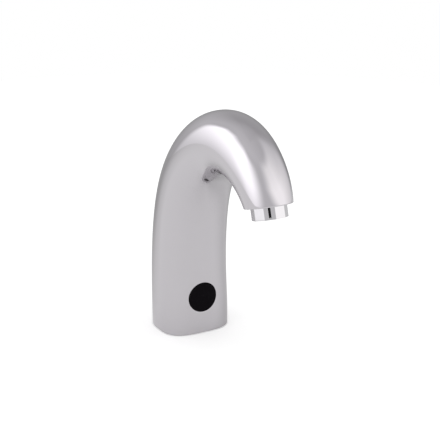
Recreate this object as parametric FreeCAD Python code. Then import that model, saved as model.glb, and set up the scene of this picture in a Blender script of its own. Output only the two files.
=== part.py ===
"""Deck-mounted sensor tap: a cast arched spout with the valve, sensor and battery inside.

Millimetres, +Z up, the front of the tap towards -Y, symmetric about the plane x = 0.
The origin is the centre of the foot, on the deck that the tap stands on.
"""
import FreeCAD, Part
import math
import os

from FreeCAD import Placement, Rotation, Vector

os.makedirs("parts", exist_ok=True)

# --- Driving dimensions: the cast body --------------------------------------------------
# Each station steers the body's centre line and its section with a cubic curve, from the
# deck to the outlet: y and z of the line, full width across x, full depth across the line,
# and the exponents that square the corners at the back and the front (2 is an ellipse).
FOOT = (0.0, 0.0, 54.1, 47.0, 2.46, 3.14)
SKIRT = (0.0, 14.2, 54.6, 45.6, 2.40, 3.27)
WAIST = (2.1, 42.7, 53.8, 46.4, 2.33, 2.84)
SHOULDER = (-0.4, 86.0, 52.4, 48.5, 2.25, 2.69)
RISE = (-12.1, 124.5, 50.3, 48.9, 2.16, 2.36)
CROWN = (-45.7, 158.1, 46.8, 46.0, 2.07, 2.32)
FALL = (-86.8, 161.5, 41.8, 40.1, 1.97, 2.21)
NECK = (-111.1, 140.2, 36.7, 34.8, 2.00, 2.00)
LIP = (-114.7, 128.5, 33.2, 33.2, 2.00, 2.00)
STATIONS = [FOOT, SKIRT, WAIST, SHOULDER, RISE, CROWN, FALL, NECK, LIP]

WALL = 2.8                # thickness of the casting
FOOT_GAP = 0.4            # the casting hangs this far above the deck, on its gasket
SECTIONS = 26             # sections that the casting's surface passes through
SECTION_POINTS = 40       # points round one section
CAVITY_END = 5.88         # spans along the line, of 6, where the hollow meets the insert's bore
TIP_WALL = 4.6            # thickness of the casting at the hollow's end

# --- Driving dimensions: what the body stands on and is held by -------------------------
GASKET_THICK = 1.5
PLATE_TOP = 8.0           # top of the base plate
PLATE_EDGE_GAP = 0.7      # between the base plate and the casting at the foot, less above it
SCREW_X = 17.0            # four base screws at plus and minus this
SCREW_FRONT_Y = -12.0
SCREW_BACK_Y = 11.5
SCREW_TOP = 14.0
COUNTERSINK_R = 3.0
COUNTERSINK_DEEP = 1.6
BOSS_R = 4.0
BOSS_TOP = 16.0
RIB_THICK = 3.0
M3_R = 1.5
M25_R = 1.25
PAN_HEAD_R = 2.1
PAN_HEAD_HIGH = 1.5
THREAD_GAP = 0.02         # between a screw's plain shank and its hole
SHANK_GAP = 0.1           # between a screw's shank and the piece that it holds down
STUD_X = 11.0             # two mounting studs at plus and minus this
STUD_Y = -7.0
M6_MINOR_R = 2.46
M6_CLEAR_R = 3.4          # in the gasket, round a stud
INLET_THREAD_R = 4.46     # M10 x 1, minor radius
INLET_THREAD_END = 9.5
INLET_BORE_R = 3.0
FITTING_R = 8.0           # where the inlet fitting goes through the base plate
COLLAR_R = 9.4
INLET_SPIGOT_R = 5.5
HOSE_HOLE_R = 5.8         # in the gasket, for the hose's end

# --- Driving dimensions: solenoid valve -------------------------------------------------
VALVE_Y = 6.4             # the valve's upright axis, behind the body's centre
VALVE_FLANGE = 12.0       # half the side of its square flange
FLANGE_CORNER_R = 2.2
FLANGE_SCREW = 9.8        # flange screws at plus and minus this about the axis
SEAT_TOP = 29.4           # the nozzle that the diaphragm closes
NOZZLE_BORE_R = 2.8
RING_CHAMBER_R = 9.0      # the water's chamber round the nozzle, and the bonnet's above it
SIDE_WAY_R = 1.7          # the drilled way from the inlet into the ring chamber
SIDE_WAY_X = -7.0
VALVE_TOP = 30.0
DIAPHRAGM_THICK = 1.0
DISC_LIFT = 1.2           # the diaphragm's disc rises this far
PLUNGER_LIFT = 1.8        # the plunger rises this far
PLUNGER_R = 4.2
GUIDE_BORE_R = 4.26
GUIDE_R = 5.0
CORE_GAP = 0.1            # left between plunger and fixed core when the valve is open
ELBOW_X = 17.5            # the riser beside the coil

# --- Driving dimensions: sensor ---------------------------------------------------------
EYE_Z = 28.2              # centre of the sensor window
EYE_R = 11.4              # hole in the casting
LENS_R = 11.25
CAPSULE_R = 12.3
POCKET_R = 12.6
POCKET_FLOOR = -19.7
POCKET_BOSS_R = 14.2
POCKET_BOSS_END = -12.5
CLAMP_FACE = -8.6         # back of the sensor's case, where the clamp bears
POST_X = 17.5             # two clamp posts at plus and minus this
POST_R = 3.5
BOARD_FRONT = -11.8
BOARD_BACK = -10.6
COVER_FRONT = -9.5

# --- Driving dimensions: battery --------------------------------------------------------
BATTERY = (35.0, 19.5, 36.0)
BATTERY_Y = -5.25         # middle of the battery, front to back
HOLDER_WALL = 1.2
HOLDER_FIT = 0.1
SHELF_Z = 58.0
SHELF_THICK = 1.5

# --- Driving dimensions: water way to the outlet ----------------------------------------
TUBE_R = 4.0
TUBE_BORE_R = 2.75
SPIGOT_R = 2.72
WATER_R = 1.9

# --- Driving dimensions: outlet, measured up its own tilted axis from the lip -----------
INSERT_R = 13.75
INSERT_BORE_R = 12.06
INSERT_BOTTOM = 0.3
INSERT_FLOOR = 6.6
INSERT_SHOULDER = 8.2
TUBE_END = 11.5
SPIGOT_END = 17.5
SLEEVE_R = 12.0           # M24 x 1 outside thread, drawn plain
SLEEVE_BORE_R = 10.6
SLEEVE_TOP = 5.0
HEAD_DROP = 8.5           # how far the aerator's housing stands out of the lip
HEAD_TOP = -0.1
HEAD_SIDES = 10
HEAD_APOTHEM = 11.65      # from its axis to the middle of a flat
HEAD_CORNER_R = 12.2      # turned corners between the flats
HEAD_MOUTH_R = 9.3
HEAD_RIM = 0.9            # thickness of the rim that holds the cartridge in
KEY_SLOT_WIDTH = 1.7
KEY_SLOT_END = 1.2        # the two key slots end this far above the head's bottom
KEY_SLOT_TURN = 28.5      # degrees, from straight ahead towards -X
CARTRIDGE_R = 10.3


# --- Plain shapes -----------------------------------------------------------------------
def box(x0, x1, y0, y1, z0, z1):
    return Part.makeBox(x1 - x0, y1 - y0, z1 - z0, Vector(x0, y0, z0))


def rod(r, z0, z1, x=0.0, y=0.0):
    """Upright cylinder."""
    return Part.makeCylinder(r, z1 - z0, Vector(x, y, z0))


def ring(r_out, r_in, z0, z1, x=0.0, y=0.0):
    return rod(r_out, z0, z1, x, y).cut(rod(r_in, z0 - 1, z1 + 1, x, y))


def rod_y(r, y0, y1, x=0.0, z=EYE_Z):
    """Cylinder that lies along Y."""
    return Part.makeCylinder(r, y1 - y0, Vector(x, y0, z), Vector(0, 1, 0))


def ring_y(r_out, r_in, y0, y1, x=0.0, z=EYE_Z):
    return rod_y(r_out, y0, y1, x, z).cut(rod_y(r_in, y0 - 1, y1 + 1, x, z))


def rod_x(r, x0, x1, y, z):
    return Part.makeCylinder(r, x1 - x0, Vector(x0, y, z), Vector(1, 0, 0))


def rounded_box(half_x, half_y, r, z0, z1, x=0.0, y=0.0):
    """Block with upright edges rounded by r."""
    block = box(x - half_x, x + half_x, y - half_y, y + half_y, z0, z1)
    upright = [e for e in block.Edges if abs(e.Vertexes[0].Z - e.Vertexes[-1].Z) > 1e-6]
    return block.makeFillet(r, upright)


def group(make, places):
    """The same piece at each place, as one node of separate solids."""
    return Part.makeCompound([make(*place) for place in places])


def pair(make, x):
    """The same piece on the left and on the right."""
    return group(make, [(-x,), (x,)])


def save(node, shape):
    shape.exportStep("parts/%s.step" % node)


# --- The body's centre line and sections ------------------------------------------------
SPANS = len(STATIONS) - 3


def station_curve(columns):
    poles = [Vector(*[station[i] for i in columns]) for station in STATIONS]
    curve = Part.BSplineCurve()
    curve.buildFromPolesMultsKnots(
        poles, [4] + [1] * (SPANS - 1) + [4], list(range(SPANS + 1)), False, 3)
    return curve


LINE = station_curve((0, 1, 2))
FORM = station_curve((3, 4, 5))


def section(u, inset=0.0):
    """Closed wire of the body's section at u spans along the line."""
    (y, z, width), slope = LINE.getD1(u)
    depth, back, front = FORM.value(u)
    run = math.hypot(slope.x, slope.y)
    along_y, along_z = slope.x / run, slope.y / run
    half_width = width / 2 - inset
    half_depth = depth / 2 - inset
    points = []
    for i in range(SECTION_POINTS):
        across = math.cos(2 * math.pi * i / SECTION_POINTS)
        outward = math.sin(2 * math.pi * i / SECTION_POINTS)
        power = back if outward >= 0 else front
        reach = ((abs(across) / half_width) ** power
                 + (abs(outward) / half_depth) ** power) ** (-1 / power)
        points.append(Vector(across * reach,
                             y + outward * reach * along_z,
                             z - outward * reach * along_y))
    curve = Part.BSplineCurve()
    curve.interpolate(Points=points, PeriodicFlag=True,
                      Parameters=[float(i) for i in range(SECTION_POINTS + 1)])
    return Part.Wire(curve.toShape())


def cast_outside():
    wires = [section(SPANS * i / SECTIONS) for i in range(SECTIONS + 1)]
    return Part.makeLoft(wires, True, False)


def cast_hollow(wall):
    """The casting's hollow, run out below the foot so that it cuts clean through."""
    below = section(0.0, wall)
    below.translate(Vector(0, 0, -2))
    wires = [below]
    for i in range(SECTIONS + 1):
        u = CAVITY_END * i / SECTIONS
        near_tip = max(0.0, u - (CAVITY_END - 1)) ** 2
        wires.append(section(u, wall + (TIP_WALL - wall) * near_tip))
    return Part.makeLoft(wires, True, False)


# --- The outlet's own axis --------------------------------------------------------------
OUTLET_TILT = math.degrees(math.atan2(NECK[0] - LIP[0], NECK[1] - LIP[1]))
OUTLET = Placement(Vector(0, LIP[0], LIP[1]), Rotation(Vector(1, 0, 0), -OUTLET_TILT))


def at_outlet(shape):
    """Take a piece modelled upright about the lip's centre to its place in the spout."""
    placed = shape.copy()
    placed.Placement = OUTLET.multiply(placed.Placement)
    return placed


def outlet_point(x, y, height):
    return OUTLET.multVec(Vector(x, y, height))


# --- Tubes and wires --------------------------------------------------------------------
def route(points):
    """Straight runs joined by tangent arcs, each as large as its two runs allow."""
    edges = []
    start = points[0]
    for before, corner, after in zip(points, points[1:], points[2:]):
        back, ahead = before - corner, after - corner
        reach = 0.45 * min(back.Length, ahead.Length)
        half_turn = (math.pi - back.getAngle(ahead)) / 2
        radius = reach / math.tan(half_turn)
        back.normalize()
        ahead.normalize()
        inward = (back + ahead).normalize() * (radius / math.cos(half_turn) - radius)
        enter, leave = corner + back * reach, corner + ahead * reach
        edges.append(Part.LineSegment(start, enter).toShape())
        edges.append(Part.Arc(enter, corner + inward, leave).toShape())
        start = leave
    edges.append(Part.LineSegment(start, points[-1]).toShape())
    return Part.Wire(edges)


def tube(points, r):
    circle = Part.Circle(points[0], points[1] - points[0], r)
    return route(points).makePipeShell([Part.Wire(circle.toShape())], True, False)


# --- Casting ----------------------------------------------------------------------------
OUTSIDE = cast_outside()
SCREW_PLACES = [(x, y) for x in (-SCREW_X, SCREW_X) for y in (SCREW_FRONT_Y, SCREW_BACK_Y)]


def screw_boss(x, y):
    """Boss with a rib that runs out to the casting's corner."""
    rib = box(0, 9, -RIB_THICK / 2, RIB_THICK / 2, PLATE_TOP, BOSS_TOP)
    rib.rotate(Vector(0, 0, 0), Vector(0, 0, 1), math.degrees(math.atan2(y, x)))
    rib.translate(Vector(x, y, 0))
    return rod(BOSS_R, PLATE_TOP, BOSS_TOP, x, y).fuse(rib)


def spout_body():
    """One hollow casting with four screw bosses, the sensor's pocket and two clamp posts."""
    hollow = cast_hollow(WALL)
    for x, y in SCREW_PLACES:
        hollow = hollow.cut(screw_boss(x, y))
    hollow = hollow.cut(ring_y(POCKET_BOSS_R, POCKET_R, POCKET_FLOOR - 2, POCKET_BOSS_END))
    for x in (-POST_X, POST_X):
        hollow = hollow.cut(rod_y(POST_R, -2 * CAPSULE_R, CLAMP_FACE, x))
    body = OUTSIDE.cut(hollow)
    body = body.cut(box(-99, 99, -99, 99, -9, FOOT_GAP))
    for x, y in SCREW_PLACES:
        body = body.cut(rod(M3_R + THREAD_GAP, PLATE_TOP - 1, BOSS_TOP - 0.8, x, y))
    body = body.cut(rod_y(EYE_R, -40, 0))
    body = body.cut(rod_y(POCKET_R, POCKET_FLOOR, 0))
    for x in (-POST_X, POST_X):
        body = body.cut(rod_y(M25_R + THREAD_GAP, CLAMP_FACE - 6, 0, x))
    body = body.cut(at_outlet(rod(INSERT_R + 0.03, -5, INSERT_SHOULDER + 0.2)))
    return body


# --- Foot -------------------------------------------------------------------------------
def foot_outline(z, inset):
    """Face of the foot's own outline, drawn in by inset, at height z."""
    wire = section(0.0, inset)
    wire.translate(Vector(0, 0, z))
    return Part.Face(wire)


STUD_PLACES = [(-STUD_X, STUD_Y), (STUD_X, STUD_Y)]
CHASSIS_SCREWS = [(-19.2, 1.5), (19.2, -2.0)]


def base_gasket():
    """Flat rubber pad; the tap stands on it."""
    pad = foot_outline(0, WALL + PLATE_EDGE_GAP).extrude(Vector(0, 0, GASKET_THICK))
    pad = pad.cut(rod(HOSE_HOLE_R, -1, 9, 0, VALVE_Y))
    for x, y in STUD_PLACES:
        pad = pad.cut(rod(M6_CLEAR_R, -1, 9, x, y))
    return pad


def base_plate():
    """Brass plate that closes the foot, with stud threads, inlet hole and countersinks."""
    rise = Vector(0, 0, PLATE_TOP - GASKET_THICK)
    plate = foot_outline(GASKET_THICK, WALL + PLATE_EDGE_GAP).extrude(rise)
    plate = plate.cut(rod(FITTING_R + THREAD_GAP, -1, 9, 0, VALVE_Y))
    for x, y in STUD_PLACES:
        plate = plate.cut(rod(M6_MINOR_R, -1, 9, x, y))
    for x, y in SCREW_PLACES:
        plate = plate.cut(base_screw_shape(x, y, SHANK_GAP))
    for x, y in CHASSIS_SCREWS:
        plate = plate.cut(rod(M25_R + THREAD_GAP, 3, 9, x, y))
    return plate


def base_screw_shape(x, y, gap=0.0):
    """M3 countersunk screw, driven upwards from under the plate."""
    sink = Part.makeCone(COUNTERSINK_R + gap, M3_R + gap, COUNTERSINK_DEEP,
                         Vector(x, y, GASKET_THICK))
    return sink.fuse(rod(M3_R + gap, GASKET_THICK, SCREW_TOP + gap, x, y))


def base_screw(x, y):
    recess = cross_recess(x, y, GASKET_THICK - 1, GASKET_THICK + 1)
    return base_screw_shape(x, y).cut(recess)


def cross_recess(x, y, z0, z1):
    slot = box(x - 1.2, x + 1.2, y - 0.3, y + 0.3, z0, z1)
    return slot.fuse(box(x - 0.3, x + 0.3, y - 1.2, y + 1.2, z0, z1))


# --- Inlet ------------------------------------------------------------------------------
FITTING_TOP = 9.5
SPIGOT_TOP = 14.0
SEAL_Z = 11.6
SEAL_CORD_R = 0.64
GROOVE_R = 4.3


def inlet_fitting():
    """Turned brass port: hose thread below, collar, and a grooved spigot into the valve."""
    fitting = rod(FITTING_R, GASKET_THICK, PLATE_TOP, 0, VALVE_Y)
    fitting = fitting.fuse(rod(COLLAR_R, PLATE_TOP, FITTING_TOP, 0, VALVE_Y))
    fitting = fitting.fuse(rod(INLET_SPIGOT_R, FITTING_TOP, SPIGOT_TOP, 0, VALVE_Y))
    fitting = fitting.cut(ring(6.5, GROOVE_R, SEAL_Z - 0.9, SEAL_Z + 0.9, 0, VALVE_Y))
    fitting = fitting.cut(rod(INLET_THREAD_R, 0, INLET_THREAD_END, 0, VALVE_Y))
    return fitting.cut(rod(INLET_BORE_R, 0, 20, 0, VALVE_Y)).removeSplitter()


def inlet_seal():
    return Part.makeTorus(GROOVE_R + 0.01 + SEAL_CORD_R, SEAL_CORD_R, Vector(0, VALVE_Y, SEAL_Z))


def inlet_filter():
    """Thimble strainer standing in the valve's inlet."""
    thimble = rod(3.9, 14.3, 18.2, 0, VALVE_Y).cut(rod(3.3, 14.2, 17.6, 0, VALVE_Y))
    thimble = thimble.fuse(ring(4.5, 3.3, 14.3, 15.0, 0, VALVE_Y))
    for step in range(4):
        turned = rod_x(0.35, -6, 6, VALVE_Y, 16.2)
        turned.rotate(Vector(0, VALVE_Y, 0), Vector(0, 0, 1), 45 * step)
        thimble = thimble.cut(turned)
    return thimble


# --- Solenoid valve ---------------------------------------------------------------------
FLANGE_SCREWS = [(side * FLANGE_SCREW, VALVE_Y + end * FLANGE_SCREW)
                 for side in (-1, 1) for end in (-1, 1)]
BONNET_BOTTOM = VALVE_TOP + DIAPHRAGM_THICK
BONNET_TOP = 36.0
FLANGE_BOTTOM = 24.0
OUTLET_Z = 22.3
DISC_BOTTOM = 30.5
DISC_TOP = 32.1
CHAMBER_TOP = DISC_TOP + DISC_LIFT + 1.3
PLUNGER_BOTTOM = 33.0
PLUNGER_TOP = 50.0
CORE_BOTTOM = PLUNGER_TOP + PLUNGER_LIFT + CORE_GAP
CORE_TOP = 57.2


def valve_body():
    """Moulded body: inlet below, ring chamber round a central nozzle, outlet to the side."""
    body = rod(11.0, FITTING_TOP, FLANGE_BOTTOM, 0, VALVE_Y)
    body = body.fuse(rounded_box(
        VALVE_FLANGE, VALVE_FLANGE, FLANGE_CORNER_R, FLANGE_BOTTOM, VALVE_TOP, 0, VALVE_Y))
    body = body.cut(rod(INLET_SPIGOT_R + 0.1, FITTING_TOP - 1, SPIGOT_TOP + 0.2, 0, VALVE_Y))
    body = body.cut(rod(4.6, FITTING_TOP, 18.6, 0, VALVE_Y))
    body = body.cut(ring(RING_CHAMBER_R, 4.2, 25.5, VALVE_TOP + 1, 0, VALVE_Y))
    body = body.cut(rod(4.3, SEAT_TOP, VALVE_TOP + 1, 0, VALVE_Y))
    body = body.cut(rod(NOZZLE_BORE_R, OUTLET_Z - 2, VALVE_TOP + 1, 0, VALVE_Y))
    body = body.cut(rod(SIDE_WAY_R, 16.5, 27, SIDE_WAY_X, VALVE_Y))
    body = body.cut(rod_x(SIDE_WAY_R, SIDE_WAY_X, -3.0, VALVE_Y, 16.8))
    body = body.cut(rod_x(NOZZLE_BORE_R, 0, 20, VALVE_Y, OUTLET_Z))
    body = body.cut(rod_x(4.05, 6.5, 20, VALVE_Y, OUTLET_Z))
    for x, y in FLANGE_SCREWS:
        body = body.cut(rod(M25_R + THREAD_GAP, 24.8, VALVE_TOP + 1, x, y))
    return body


def valve_diaphragm():
    """Rubber diaphragm: clamped rim, thin web and a thicker middle round the disc."""
    rim = ring(11.4, 9.2, VALVE_TOP, BONNET_BOTTOM, 0, VALVE_Y)
    web = ring(9.3, 4.4, VALVE_TOP + 0.1, VALVE_TOP + 0.6, 0, VALVE_Y)
    middle = rod(4.5, SEAT_TOP, DISC_BOTTOM, 0, VALVE_Y)
    pilot = rod(1.2, SEAT_TOP - 1, DISC_BOTTOM + 1, 0, VALVE_Y)
    return rim.fuse(web).fuse(middle).cut(pilot)


def valve_disc():
    """Stiff insert on the diaphragm, with the pilot hole that the plunger closes."""
    disc = rod(5.6, DISC_BOTTOM + 0.2, DISC_TOP, 0, VALVE_Y)
    disc = disc.fuse(rod(1.5, DISC_TOP, DISC_TOP + 0.5, 0, VALVE_Y))
    return disc.cut(rod(0.5, DISC_BOTTOM - 1, DISC_TOP + 2, 0, VALVE_Y))


def valve_bonnet():
    """Cover over the diaphragm, with the plunger's guide tube standing on it."""
    bonnet = rounded_box(
        VALVE_FLANGE, VALVE_FLANGE, FLANGE_CORNER_R, BONNET_BOTTOM, BONNET_TOP, 0, VALVE_Y)
    bonnet = bonnet.fuse(rod(GUIDE_R, BONNET_TOP, CORE_TOP, 0, VALVE_Y))
    bonnet = bonnet.cut(rod(RING_CHAMBER_R, BONNET_BOTTOM - 1, CHAMBER_TOP, 0, VALVE_Y))
    bonnet = bonnet.cut(rod(GUIDE_BORE_R, BONNET_BOTTOM, CORE_TOP + 1, 0, VALVE_Y))
    for x, y in FLANGE_SCREWS:
        bonnet = bonnet.cut(rod(M25_R + SHANK_GAP, BONNET_BOTTOM - 1, BONNET_TOP + 1, x, y))
    return bonnet


def pan_head_screw(x, y, tip, seat):
    """M2.5 screw with a cross recess; its head sits on what it holds, at height seat."""
    top = seat + PAN_HEAD_HIGH
    screw = rod(M25_R, tip, seat, x, y).fuse(rod(PAN_HEAD_R, seat, top, x, y))
    return screw.cut(cross_recess(x, y, top - 0.8, top + 1))


def bonnet_screw(x, y):
    """Through the bonnet into the valve's body."""
    return pan_head_screw(x, y, 25.6, BONNET_TOP)


SPRING_R = 2.5
SPRING_WIRE_R = 0.25
SPRING_SEAT = 45.0
SPRING_TURNS = 6


def valve_plunger():
    """Iron plunger with a spring pocket above and a seal pocket below."""
    plunger = rod(PLUNGER_R, PLUNGER_BOTTOM, PLUNGER_TOP, 0, VALVE_Y)
    plunger = plunger.cut(rod(SPRING_R + 0.45, SPRING_SEAT, PLUNGER_TOP + 1, 0, VALVE_Y))
    return plunger.cut(rod(2.3, PLUNGER_BOTTOM - 1, PLUNGER_BOTTOM + 1.2, 0, VALVE_Y))


def plunger_seal():
    return rod(2.3, PLUNGER_BOTTOM - 0.35, PLUNGER_BOTTOM + 1.2, 0, VALVE_Y)


def plunger_spring():
    """Closing spring between the plunger's pocket and the fixed core."""
    low, high = SPRING_SEAT + SPRING_WIRE_R, CORE_BOTTOM - SPRING_WIRE_R
    steps = 4 * SPRING_TURNS
    rise = (high - low) / steps

    def on_coil(quarter):
        angle = math.pi / 2 * quarter
        return Vector(SPRING_R * math.cos(angle), VALVE_Y + SPRING_R * math.sin(angle),
                      low + rise * quarter)

    quarters = [Part.Arc(on_coil(i), on_coil(i + 0.5), on_coil(i + 1)).toShape()
                for i in range(steps)]
    start = Part.Circle(on_coil(0), Vector(0, 1, 0), SPRING_WIRE_R)
    return Part.Wire(quarters).makePipeShell([Part.Wire(start.toShape())], True, False)


def fixed_core():
    return rod(GUIDE_BORE_R, CORE_BOTTOM, CORE_TOP, 0, VALVE_Y)


COIL_BOTTOM = 37.8
COIL_TOP = 53.6
YOKE_THICK = 1.1
YOKE_HALF = 12.0


def coil_bobbin():
    bobbin = ring(6.2, GUIDE_R + 0.1, COIL_BOTTOM, COIL_TOP, 0, VALVE_Y)
    for z in (COIL_BOTTOM, COIL_TOP - 1.0):
        bobbin = bobbin.fuse(ring(10.8, GUIDE_R + 0.1, z, z + 1.0, 0, VALVE_Y))
    return bobbin


def coil_winding():
    return ring(10.3, 6.2, COIL_BOTTOM + 1.0, COIL_TOP - 1.0, 0, VALVE_Y)


def coil_yoke():
    """Steel strap bent round the coil, closing the magnet's circuit."""
    half_y = 6.5
    outer = box(-YOKE_HALF, YOKE_HALF, VALVE_Y - half_y, VALVE_Y + half_y,
                COIL_BOTTOM - YOKE_THICK, COIL_TOP + YOKE_THICK)
    inner = box(YOKE_THICK - YOKE_HALF, YOKE_HALF - YOKE_THICK, VALVE_Y - half_y - 1,
                VALVE_Y + half_y + 1, COIL_BOTTOM, COIL_TOP)
    return outer.cut(inner).cut(rod(GUIDE_R + 0.1, 30, 60, 0, VALVE_Y))


TERMINAL_X = 4.0
TERMINAL_Y = -7.0


def coil_terminal(x):
    """Tinned blade in the bobbin's top flange."""
    return box(x - 0.4, x + 0.4, TERMINAL_Y, VALVE_Y - 10.4, COIL_TOP - 3.4, COIL_TOP - 1.0)


def outlet_elbow():
    """Moulded elbow from the valve's side up to the riser tube."""
    elbow = rod_x(4.0, 6.7, 12.2, VALVE_Y, OUTLET_Z)
    elbow = elbow.fuse(rod_x(5.2, 12.1, ELBOW_X, VALVE_Y, OUTLET_Z))
    elbow = elbow.fuse(rod(5.4, OUTLET_Z - 5.2, OUTLET_Z + 5.2, ELBOW_X, VALVE_Y))
    elbow = elbow.fuse(rod(SPIGOT_R, OUTLET_Z, OUTLET_Z + 12, ELBOW_X, VALVE_Y))
    elbow = elbow.cut(rod_x(WATER_R, 0, ELBOW_X, VALVE_Y, OUTLET_Z))
    return elbow.cut(rod(WATER_R, OUTLET_Z, OUTLET_Z + 20, ELBOW_X, VALVE_Y))


# --- Riser ------------------------------------------------------------------------------
TUBE_START = OUTLET_Z + 5.4


def riser_points():
    """The soft tube's way: up beside the coil, behind the battery and along the arch."""
    return [
        Vector(ELBOW_X, VALVE_Y, TUBE_START),
        Vector(ELBOW_X, VALVE_Y, 40),
        Vector(16.6, 10.6, 56),
        Vector(9, 11.2, 76),
        Vector(0, 12.2, 97),
        Vector(0, 1, 117),
        Vector(0, -14, 134),
        Vector(0, -34, 150),
        Vector(0, -60, 159),
        Vector(0, -82, 160.3),
        Vector(0, -99, 157.5),
        outlet_point(0, 0, 22),
        outlet_point(0, 0, TUBE_END),
    ]


def riser_tube():
    points = riser_points()
    return tube(points, TUBE_R).cut(tube(points, TUBE_BORE_R))


CLIP_R = TUBE_R + 0.05


def tube_clip_shape(z0, x=0.0, y=0.0):
    """Spring-wire band, 4 mm deep, with its two pinch ears."""
    band = ring(CLIP_R + 0.7, CLIP_R, z0, z0 + 4, x, y)
    ears = box(x - 1.4, x + 1.4, y + CLIP_R + 0.2, y + CLIP_R + 2.2, z0, z0 + 4)
    return band.fuse(ears.cut(rod(CLIP_R, z0 - 1, z0 + 5, x, y)))


def tube_clips():
    low = tube_clip_shape(TUBE_START + 1.2, ELBOW_X, VALVE_Y)
    high = at_outlet(tube_clip_shape(TUBE_END + 1.2))
    return Part.makeCompound([low, high])


# --- Outlet -----------------------------------------------------------------------------
def outlet_insert():
    """Brass bush pressed into the spout's end, threaded inside for the aerator."""
    insert = rod(INSERT_R, INSERT_BOTTOM, INSERT_SHOULDER)
    insert = insert.fuse(rod(6.5, INSERT_SHOULDER, TUBE_END - 0.2))
    insert = insert.fuse(rod(SPIGOT_R, TUBE_END - 0.2, SPIGOT_END))
    insert = insert.cut(rod(INSERT_BORE_R, -1, INSERT_FLOOR))
    insert = insert.cut(rod(WATER_R, INSERT_FLOOR - 1, SPIGOT_END + 1))
    return at_outlet(insert)


def aerator_head():
    """Ten-sided block with turned corners, its flats facing straight ahead and behind."""
    half_turn = math.pi / HEAD_SIDES
    reach = HEAD_APOTHEM / math.cos(half_turn)
    corners = [Vector(reach * math.sin(half_turn * (2 * i + 1)),
                      reach * math.cos(half_turn * (2 * i + 1)), -HEAD_DROP)
               for i in range(HEAD_SIDES + 1)]
    prism = Part.Face(Part.makePolygon(corners)).extrude(Vector(0, 0, HEAD_DROP + HEAD_TOP))
    return prism.common(rod(HEAD_CORNER_R, -HEAD_DROP, HEAD_TOP))


def aerator_housing():
    """Chromed sleeve: thread above, ten-sided head with two opposite key slots below."""
    housing = aerator_head().fuse(rod(SLEEVE_R, HEAD_TOP, SLEEVE_TOP))
    housing = housing.cut(rod(SLEEVE_BORE_R, HEAD_RIM - HEAD_DROP, SLEEVE_TOP + 1))
    housing = housing.cut(rod(HEAD_MOUTH_R, -HEAD_DROP - 1, 0))
    for side in (-1, 1):
        middle = side * HEAD_APOTHEM
        slot = box(-KEY_SLOT_WIDTH / 2, KEY_SLOT_WIDTH / 2, middle - 2.5, middle + 2.5,
                   KEY_SLOT_END - HEAD_DROP, HEAD_TOP - 0.3)
        housing = housing.cut(slot)
    housing.rotate(Vector(0, 0, 0), Vector(0, 0, 1), -KEY_SLOT_TURN)
    return at_outlet(housing)


def hole_circle(solid, count, radius, hole_r, z0, z1):
    for i in range(count):
        angle = 2 * math.pi * i / count
        solid = solid.cut(rod(hole_r, z0, z1, radius * math.cos(angle), radius * math.sin(angle)))
    return solid


def aerator_cartridge():
    """Black spray former: an open cup with a drilled plate that mixes in air."""
    cup = rod(CARTRIDGE_R, HEAD_RIM + 0.4 - HEAD_DROP, SLEEVE_TOP)
    cup = cup.cut(rod(8.8, -HEAD_DROP, 0.5))
    cup = cup.cut(rod(8.8, 2.2, SLEEVE_TOP + 1))
    cup = hole_circle(cup, 12, 7.0, 0.8, 0, 3)
    cup = hole_circle(cup, 6, 3.6, 0.8, 0, 3)
    return at_outlet(cup)


def aerator_screen():
    """Stainless strainer across the cartridge's mouth."""
    screen = rod(8.7, 1.9 - HEAD_DROP, 2.5 - HEAD_DROP)
    pitch, hole = 2.4, 0.95
    for row in range(-3, 4):
        shift = pitch / 2 * (row % 2)
        for column in range(-4, 5):
            x, y = column * pitch + shift, row * pitch * math.sin(math.pi / 3)
            if math.hypot(x, y) < 7.5:
                screen = screen.cut(rod(hole, -HEAD_DROP, 0, x, y))
    return at_outlet(screen)


def aerator_washer():
    return at_outlet(ring(11.6, 8.0, SLEEVE_TOP + 0.05, INSERT_FLOOR - 0.05))


# --- Sensor -----------------------------------------------------------------------------
LENS_FLANGE = (-18.9, -17.7)
DIODE_X = 5.0
DIODE_R = 2.5
DIODE_NOSE = -15.0        # centre of its round nose


def sensor_lens():
    """Infrared-clear window: its face follows the casting, its flange stays behind it."""
    face = rod_y(LENS_R, -40, LENS_FLANGE[0]).common(OUTSIDE)
    return face.fuse(rod_y(CAPSULE_R, *LENS_FLANGE))


def sensor_seal():
    return ring_y(CAPSULE_R, LENS_R + 0.1, POCKET_FLOOR, LENS_FLANGE[0])


def sensor_case():
    case = ring_y(CAPSULE_R, 11.1, LENS_FLANGE[1], CLAMP_FACE)
    case = case.fuse(ring_y(11.2, 8.0, BOARD_FRONT - 0.8, BOARD_FRONT))
    for x in WIRE_XS:
        case = case.cut(rod(0.75, EYE_Z, EYE_Z + 20, x, WIRE_Y))
    return case


def optic_divider():
    """Wall between the two diodes, so that the one's light reaches the other off a hand only."""
    return box(-0.6, 0.6, LENS_FLANGE[1] + 0.1, BOARD_FRONT - 0.1, EYE_Z - 7.4, EYE_Z + 7.4)


def diode(x):
    """Round-nosed infrared diode with a collar, 5 mm across."""
    nose = Part.makeSphere(DIODE_R, Vector(x, DIODE_NOSE, EYE_Z))
    shell = rod_y(DIODE_R, DIODE_NOSE, BOARD_FRONT, x).fuse(nose)
    return shell.fuse(rod_y(2.8, BOARD_FRONT - 0.8, BOARD_FRONT, x)).removeSplitter()


def sensor_board():
    """Round circuit board with its chip on the back."""
    chip = box(-4, 4, BOARD_BACK, BOARD_BACK + 1.0, EYE_Z - 4, EYE_Z + 4)
    return rod_y(10.9, BOARD_FRONT, BOARD_BACK).fuse(chip)


def sensor_back_cover():
    return rod_y(11.0, COVER_FRONT, CLAMP_FACE)


CLAMP_THICK = 1.5
CLAMP_BACK = CLAMP_FACE + CLAMP_THICK


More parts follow.
